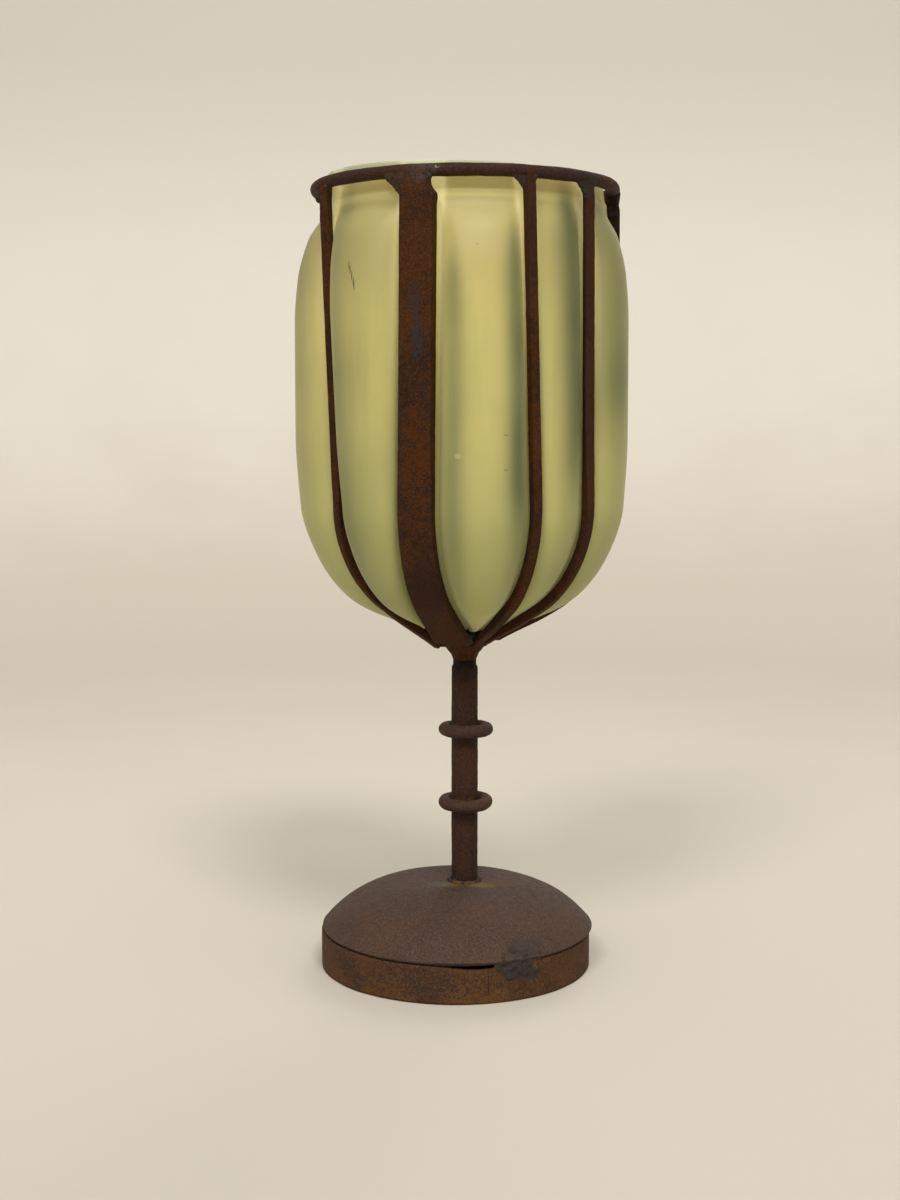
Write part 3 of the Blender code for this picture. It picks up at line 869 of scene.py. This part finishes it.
def make_hub_weld(look):
    """The run of weld that covers the end of the front wide bar."""
    balls = []
    for step in range(9):
        side = (step - 4) / 4
        azimuth = RIBS["front_wide"].belly + 24 * side
        height = 0.1264 + 0.0003 * math.sin(step * 2.0)
        balls.append((polar(azimuth, 0.0140, height), 0.0019 - 0.0004 * abs(side)))
        balls.append((polar(azimuth, 0.0118, height - 0.0016), 0.0019))
    obj = bead("hub_bead", balls, seed=11)
    return finish_piece(obj, look["weld"], "stand", "weld", "hub_weld")


def azimuth_at(rib, height):
    rise = min(max((height - BEND_Z) / (RIB_TOP_Z - BEND_Z), 0), 1)
    return rib.belly + (rib.top - rib.belly) * rise


def side_reach(rib):
    """How far the bar's section reaches sideways with its yaw."""
    yaw = abs(math.radians(rib.yaw))
    return (rib.bar["width"] * math.cos(yaw) + rib.bar["thickness"] * math.sin(yaw)) / 2


def rib_profile(rib):
    """(radius, height, turn) of the bar's middle, from the hub, round the belly and up into the ring."""
    upright = rib.bar["radius"]
    centre = upright - BEND_RADIUS
    angle = math.radians(rib.turn)
    bend_end = (centre + BEND_RADIUS * math.cos(angle), BEND_Z - BEND_RADIUS * math.sin(angle))
    start = rib.end - (0 if rib in (RIBS["left"], RIBS["front_wide"]) else BURIED)
    profile = []
    slope_steps = 20
    for step in range(slope_steps):
        radius = start + (bend_end[0] - start) * step / slope_steps
        sloping = max(radius, rib.end)
        profile.append((radius, bend_end[1] - (bend_end[0] - sloping) / math.tan(angle), angle))
    bend_steps = 36
    for step in range(bend_steps, -1, -1):
        turned = angle * step / bend_steps
        height = BEND_Z - BEND_RADIUS * math.sin(turned)
        profile.append((centre + BEND_RADIUS * math.cos(turned), height, turned))
    top = RING_Z + 0.0004
    flush = RING_RADIUS + RING_ROD - rib.bar["thickness"] / 2
    upright_steps = 84
    for step in range(1, upright_steps + 1):
        height = BEND_Z + (top - BEND_Z) * step / upright_steps
        inward = ease(height, RING_Z - 0.0075, RING_Z - 0.0010)
        profile.append((upright + (flush - upright) * inward, height, 0.0))
    return profile


def bar_section(width, thickness):
    """(x, y) points round the bar's section, a rectangle with rounded corners."""
    corners = []
    for turns, (x, y) in enumerate(((1, 1), (-1, 1), (-1, -1), (1, -1))):
        middle_x = x * (width / 2 - BAR_CORNER)
        middle_y = y * (thickness / 2 - BAR_CORNER)
        angles = [math.radians(90 * turns + 22.5 * step) for step in range(5)]
        arc = [(middle_x + BAR_CORNER * math.cos(a), middle_y + BAR_CORNER * math.sin(a)) for a in angles]
        corners.append(arc)
    points = []
    for turns, (arc, following) in enumerate(zip(corners, corners[1:] + corners[:1])):
        near, far = arc[-1], following[0]
        between = 12 if turns % 2 == 0 and width > thickness else 3
        points += arc
        for step in range(1, between + 1):
            share = step / (between + 1)
            points.append((near[0] + (far[0] - near[0]) * share, near[1] + (far[1] - near[1]) * share))
    return points


def notched(rib, x, height):
    """Rounds off the front wide bar's upper right corner below the ring, with a small shoulder under it."""
    if rib is not RIBS["front_wide"] or x < 0:
        return x
    cut = NOTCH * math.sqrt(ease(height, 0.2805, 0.2850))
    return x - cut * x / (WIDE["width"] / 2) + 0.0003 * bell(height, 0.2795, 0.0015)


def make_rib(name, rib, look, seed):
    """A bar. Its outer side thins towards the hub, and the right wide bar leans in a little at its top."""
    section = bar_section(rib.bar["width"], rib.bar["thickness"])
    rows = []
    for radius, height, turned in rib_profile(rib):
        thinned = 0 if rib is RIBS["front_wide"] else THINNED * ease(-radius, -rib.end - TAPER, -rib.end)
        shift = RIGHT_WIDE_SHIFT * ease(height, 0.190, 0.240) if name == "right_wide" else 0
        azimuth = azimuth_at(rib, height)
        side = across(azimuth)
        out = direction(azimuth) * math.cos(turned) - Vector((0, 0, 1)) * math.sin(turned)
        yaw = math.radians(rib.yaw) * ease(height, *YAW_HEIGHTS)
        facing = out * math.cos(yaw) + side * math.sin(yaw)
        sideways = side * math.cos(yaw) - out * math.sin(yaw)
        middle = polar(azimuth, radius - shift, height)
        row = []
        for x, y in section:
            outwards = y * (1 - thinned) if y > 0 else y
            row.append(middle + sideways * notched(rib, x, height) + facing * outwards)
        rows.append(row)
    obj = loft(f"bar_{name}", rows, cap_first=True, cap_last=True)
    roughen(obj, IRON_SURFACE, seed)
    return finish_piece(obj, look["bar"], "stand", "iron", f"rib_{name}")


# Where a weld runs on down the bar: azimuth, radius, heights and size of its balls.
EXTRA_METAL = {
    "left": (-70, RING_RADIUS + 0.0006, (0.2868, 0.2850, 0.2834), 0.0019),
    "right_wide": (91, RING_RADIUS + 0.0002, (0.2850, 0.2825, 0.2800), 0.0020),
}


def make_rib_weld(name, rib, look, seed):
    """The weld in the corner between a bar's left side and the ring, and a small one on its right side."""
    reach = side_reach(rib)
    wide = rib.bar is WIDE
    leg = 0.0058 if wide else 0.0042
    depth = RING_RADIUS + 0.0004
    balls = []
    steps = 6
    for step in range(steps + 1):
        for level in range(steps + 1 - step):
            along = -reach + 0.0010 - leg * step / steps
            down = -leg * 1.1 * level / steps
            size = (0.0019 if wide else 0.0016) - 0.00012 * (step + level)
            centre = polar(rib.top, depth, RIB_TOP_Z + 0.0010 + down) + across(rib.top) * along
            balls.append((centre, size))
    for step in range(3):
        along = reach - (0.0034 if wide else 0.0008) + 0.0003 * step
        down = -0.0004 * (2 - step)
        centre = polar(rib.top, depth + 0.0006, RIB_TOP_Z + 0.0008 + down) + across(rib.top) * along
        balls.append((centre, 0.0013))
    if name in EXTRA_METAL:
        azimuth, radius, heights, size = EXTRA_METAL[name]
        balls += [(polar(azimuth, radius, height), size) for height in heights]
    obj = bead(f"ring_weld_{name}", balls, seed=seed)
    return finish_piece(obj, look["weld"], "stand", "weld", f"rib_weld_{name}")


def make_top_ring(look):
    ring = rod_ring("top_ring", RING_RADIUS, RING_ROD, Vector((0, 0, RING_Z)), 320, 24)
    roughen(ring, RING_SURFACE, seed=14)
    return finish_piece(ring, look["ring"], "stand", "iron", "cage_top_ring")


def make_cage(look):
    make_hub(look)
    make_hub_weld(look)
    make_top_ring(look)
    for seed, (name, rib) in enumerate(RIBS.items(), 20):
        make_rib(name, rib, look, seed)
        make_rib_weld(name, rib, look, seed + 20)


# Glass


def trough_outline():
    """(radius, height, turn) of the glass along a bar, from the lip to the middle of the bottom."""
    neck = smooth_curve(NECK_HEIGHTS, NECK_RADII)
    outline = []
    height = LIP_Z
    while height > BEND_Z:
        if height > NECK_HEIGHTS[0]:
            radius = neck(height) + NECK_RIDGE * bell(height, NECK_RIDGE_Z, 0.0008)
        else:
            widened = ease(-height, -NECK_HEIGHTS[0], -SHOULDER_Z)
            radius = NECK_RADII[0] + (TROUGH_RADIUS - NECK_RADII[0]) * widened
        outline.append((radius, height, 0.0))
        height -= 0.0005 if height > 0.2790 else GLASS_ROW
    centre = TROUGH_RADIUS - TROUGH_BEND_RADIUS
    turns = 32
    for step in range(turns + 1):
        angle = math.radians(TROUGH_TURN) * step / turns
        outline.append((
            centre + TROUGH_BEND_RADIUS * math.cos(angle),
            BEND_Z - TROUGH_BEND_RADIUS * math.sin(angle),
            angle,
        ))
    bend_radius, bend_z, turned = outline[-1]
    straight = 8
    for step in range(1, straight + 1):
        radius = bend_radius + (BOTTOM_ROUND_START - bend_radius) * step / straight
        outline.append((radius, bend_z - (bend_radius - radius) / math.tan(turned), turned))
    round_z = outline[-1][1]
    ball = BOTTOM_ROUND_START / math.cos(turned)
    rounds = 12
    for step in range(1, rounds + 1):
        angle = turned + (math.pi / 2 - turned) * step / rounds
        radius = ball * math.cos(angle)
        outline.append((radius, round_z + ball * (math.sin(turned) - math.sin(angle)), angle))
    return outline


def clearance_angle(rib, radius):
    """Half of the angle that a bar takes up at this radius. Near the bottom the lobes stop narrowing."""
    half_width = side_reach(rib) + BAR_CLEARANCE
    return math.degrees(math.asin(half_width / max(radius, LEAST_BAR_RADIUS)))


def bay_columns(radius, height):
    """(rib, azimuth, share across the bay) round the cup at this radius and height, from bar to bar."""
    ribs = list(RIBS.values())
    columns = []
    for rib, following in zip(ribs, ribs[1:] + ribs[:1]):
        start = azimuth_at(rib, height) + clearance_angle(rib, radius)
        end = azimuth_at(following, height) - clearance_angle(following, radius)
        width = (end - start) % 360
        for column in range(COLUMNS_PER_BAY):
            share = 0.5 - 0.5 * math.cos(math.pi * column / (COLUMNS_PER_BAY - 1))
            columns.append((rib, start + width * share, share))
    return columns


def green_shade_at(rib, share, height, place):
    """How deep the painted green shade is. The bands are pointed at the top, spread downwards and waver a
    little.
    """
    wander = 0.03 * uneven(place, 0.04, seed=3)
    total = 0
    for middle, width, strength, top, low in rib.green:
        spread = 0.35 + 0.65 * ease(-height, -top, -top + 0.030)
        fade = ease(-height, -top, -top + 0.018) * (0.35 + 0.65 * ease(height, low - 0.040, low))
        total += strength * fade * bell(share + wander, middle, width * spread)
    return min(total, 1) * (0.88 + 0.25 * uneven(place, 0.025, seed=8))


def painted_glow_at(rib, share, height):
    """How strong the painted light beside the bars is. It fades downwards, and is dim left of the right
    bar.
    """
    most = 0.3 if rib is RIBS["front"] and share > 0.5 else 0.8
    return most * bell(min(share, 1 - share), 0.0, GLOW_WIDTH) * (0.2 + 0.8 * ease(height, 0.195, 0.275))


def make_glass(look):
    """The cup: round at the lip, lobed between the bars and round again at the bottom."""
    depth_at = smooth_curve(LOBE_HEIGHTS, LOBE_DEPTHS)
    rows = []
    green_shades = []
    painted_glows = []
    for radius, height, turned in trough_outline():
        depth = depth_at(height)
        row = []
        for rib, azimuth, share in bay_columns(radius, height):
            bulge = depth * rib.lobe * math.sqrt(max(0, 1 - abs(2 * share - 1) ** LOBE_POWER))
            place = polar(azimuth, radius + bulge * math.cos(turned), height - bulge * math.sin(turned))
            place.z -= LIP_TILT * ease(height, NECK_HEIGHTS[2], LIP_Z) * direction(azimuth).x
            row.append(place)
            green_shades.append(green_shade_at(rib, share, height, place))
            painted_glows.append(painted_glow_at(rib, share, height))
        rows.append(row)
    obj = loft_open(rows, {"green": green_shades, "painted_glow": painted_glows})
    wall = obj.modifiers.new("wall", "SOLIDIFY")
    wall.thickness = GLASS_WALL
    wall.offset = -1
    soft = obj.modifiers.new("lip", "BEVEL")
    soft.width = 0.0009
    soft.segments = 4
    soft.limit_method = "ANGLE"
    soft.angle_limit = math.radians(60)
    apply_modifiers(obj)
    return finish_piece(obj, look["glass"], "stand", "glass", "glass_cup")


def loft_open(rows, shares):
    """The cup's outer face, closed at the bottom, with the named shares stored on its points."""
    count = len(rows[0])
    points = [point for row in rows[:-1] for point in row]
    bottom = sum(rows[-1], Vector()) / count
    points.append(bottom)
    faces = []
    for row in range(len(rows) - 2):
        for column in range(count):
            after = (column + 1) % count
            high = row * count
            low = high + count
            faces.append((high + column, low + column, low + after, high + after))
    last = (len(rows) - 2) * count
    for column in range(count):
        faces.append((last + column, len(points) - 1, last + (column + 1) % count))
    obj = mesh_object("glass_bowl", points, faces)
    for name, values in shares.items():
        attribute = obj.data.attributes.new(name, "FLOAT", "POINT")
        attribute.data.foreach_set("value", values[: len(points) - 1] + [0.0])
    return obj


# Candle


def quarter_circle(radius, height, edge, start):
    """(radius, height) pairs down a quarter circle about this middle, from this angle."""
    steps = 6
    angles = [math.radians(start - 90 * step / steps) for step in range(steps + 1)]
    return [(radius + edge * math.cos(angle), height + edge * math.sin(angle)) for angle in angles]


def make_candle(look):
    """A pillar with a shallow melted dish round the wick, and rounded edges."""
    edge = 0.0016
    dish_z = CANDLE_TOP_Z - 0.0034
    dish_steps = 20
    side_steps = 40
    outline = [(0, dish_z)]
    for step in range(1, dish_steps + 1):
        radius = (CANDLE_RADIUS - 0.0045) * step / dish_steps
        outline.append((radius, dish_z + 0.0020 * ease(radius, 0.008, 0.019)))
    outline.append((CANDLE_RADIUS - 0.0028, CANDLE_TOP_Z - 0.0002))
    outline += quarter_circle(CANDLE_RADIUS - edge, CANDLE_TOP_Z - edge, edge, 90)
    side = CANDLE_TOP_Z - CANDLE_BASE_Z - 2 * edge
    for step in range(1, side_steps):
        outline.append((CANDLE_RADIUS, CANDLE_TOP_Z - edge - side * step / side_steps))
    outline += quarter_circle(CANDLE_RADIUS - edge, CANDLE_BASE_Z + edge, edge, 0)
    outline.append((0, CANDLE_BASE_Z))
    candle = turn("pillar", outline, 128)
    roughen(candle, WAX_SURFACE, seed=17)
    return finish_piece(candle, look["wax"], "candle", "wax", "candle_wax")


def make_wick(look):
    """A plaited wick that curls over a little at its tip."""
    low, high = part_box("candle_wick")
    radius = 0.00082
    rows = []
    steps = 60
    sides = 12
    for step in range(steps + 1):
        share = step / steps
        height = low.z + (high.z - 0.0006 - low.z) * share
        bend = 0.0016 * ease(share, 0.55, 1.0)
        row = []
        for side in range(sides):
            angle = 2 * math.pi * side / sides
            plait = 1 + 0.16 * math.cos(2 * angle + share * 40) - 0.25 * ease(share, 0.9, 1.0)
            row.append(Vector((
                bend + radius * plait * math.cos(angle),
                0.4 * bend + radius * plait * math.sin(angle),
                height,
            )))
        rows.append(row)
    wick = loft("wick", rows, cap_first=True, cap_last=True)
    return finish_piece(wick, look["wick"], "candle", "wick", "candle_wick")


# Studio


FLOOR_FLAT = 1.1
FLOOR_CURVE = 0.7
WALL_TOP_Z = 1.4
FLOOR_NEAR = (0.600, 0.565, 0.505)
FLOOR_SHADE_MIDDLE = (0.485, 0.450, 0.396)
WALL_FAR = (0.640, 0.618, 0.572)
WARM_WHITE = (1.0, 0.955, 0.885)
CAMERA_PLACE = (-0.0055, -0.6279, 0.2039)
CAMERA_DIP = 5.949  # degrees that it looks down
LENS = 50.64
SENSOR = 36


def make_floor():
    """A round pale floor that curves up into a wall, the same from all sides. It casts no shadow."""
    outline = [(FLOOR_FLAT * step / 10, 0.0) for step in range(11)]
    for step in range(1, 13):
        angle = math.pi / 2 * step / 12
        radius = FLOOR_FLAT + FLOOR_CURVE * math.sin(angle)
        outline.append((radius, FLOOR_CURVE * (1 - math.cos(angle))))
    outline.append((FLOOR_FLAT + FLOOR_CURVE, WALL_TOP_Z))
    floor = turn("studio_floor", outline, 96)
    floor.visible_shadow = False
    nodes = Nodes("studio_white")
    distance = nodes.add("ShaderNodeVectorMath", operation="LENGTH")
    nodes.feed(distance.inputs[0], nodes.place)
    waver = nodes.remap(nodes.noise(0.15, 3), 0.3, 0.7, -0.03, 0.03)
    reach = nodes.maths("ADD", distance.outputs["Value"], waver)
    # painted shade on the floor at middle distance, and painted light paler again up the wall
    colour = nodes.mix(nodes.remap(reach, 0.2, 0.9), FLOOR_NEAR, FLOOR_SHADE_MIDDLE)
    colour = nodes.mix(nodes.remap(reach, 1.25, 1.85), colour, WALL_FAR)
    nodes.set(Base_Color=colour, Roughness=0.85, Normal=nodes.bump(nodes.noise(0.004, 3), 0.0003, 0.25))
    floor.data.materials.append(nodes.material)


def add_sun(name, azimuth, elevation, strength, softness):
    """Light that comes evenly from one side, from a patch of this angle."""
    data = bpy.data.lights.new(name, "SUN")
    data.energy = strength
    data.angle = math.radians(softness)
    data.color = WARM_WHITE
    light = bpy.data.objects.new(name, data)
    rise = math.radians(elevation)
    away = direction(azimuth) * math.cos(rise) + Vector((0, 0, math.sin(rise)))
    light.location = away
    light.rotation_euler = away.to_track_quat("Z", "Y").to_euler()
    bpy.context.scene.collection.objects.link(light)


def make_lights():
    add_sun("soft_left", -22, 43, 1.12, 18)
    add_sun("soft_right", 18, 50, 1.20, 16)
    add_sun("overhead", 10, 72, 0.55, 40)
    add_sun("soft_back", 160, 38, 0.55, 30)
    world = bpy.data.worlds.new("soft_room")
    world.use_nodes = True
    background = world.node_tree.nodes["Background"]
    background.inputs["Color"].default_value = (*WARM_WHITE, 1)
    background.inputs["Strength"].default_value = 0.36
    bpy.context.scene.world = world
    bpy.context.scene.view_settings.view_transform = "Standard"


def make_camera():
    data = bpy.data.cameras.new("camera")
    data.sensor_fit = "VERTICAL"
    data.sensor_height = SENSOR
    data.lens = LENS
    data.clip_start = 0.01
    camera = bpy.data.objects.new("camera", data)
    camera.location = CAMERA_PLACE
    camera.rotation_euler = (math.radians(90 - CAMERA_DIP), 0, 0)
    bpy.context.scene.collection.objects.link(camera)
    bpy.context.scene.camera = camera


def build():
    make_camera()
    make_lights()
    make_floor()
    look = make_materials()
    make_band(look)
    make_dome(look)
    make_tacks(look)
    make_stem(look)
    make_foot_weld(look)
    make_stem_rings(look)
    make_cage(look)
    make_glass(look)
    make_candle(look)
    make_wick(look)


build()
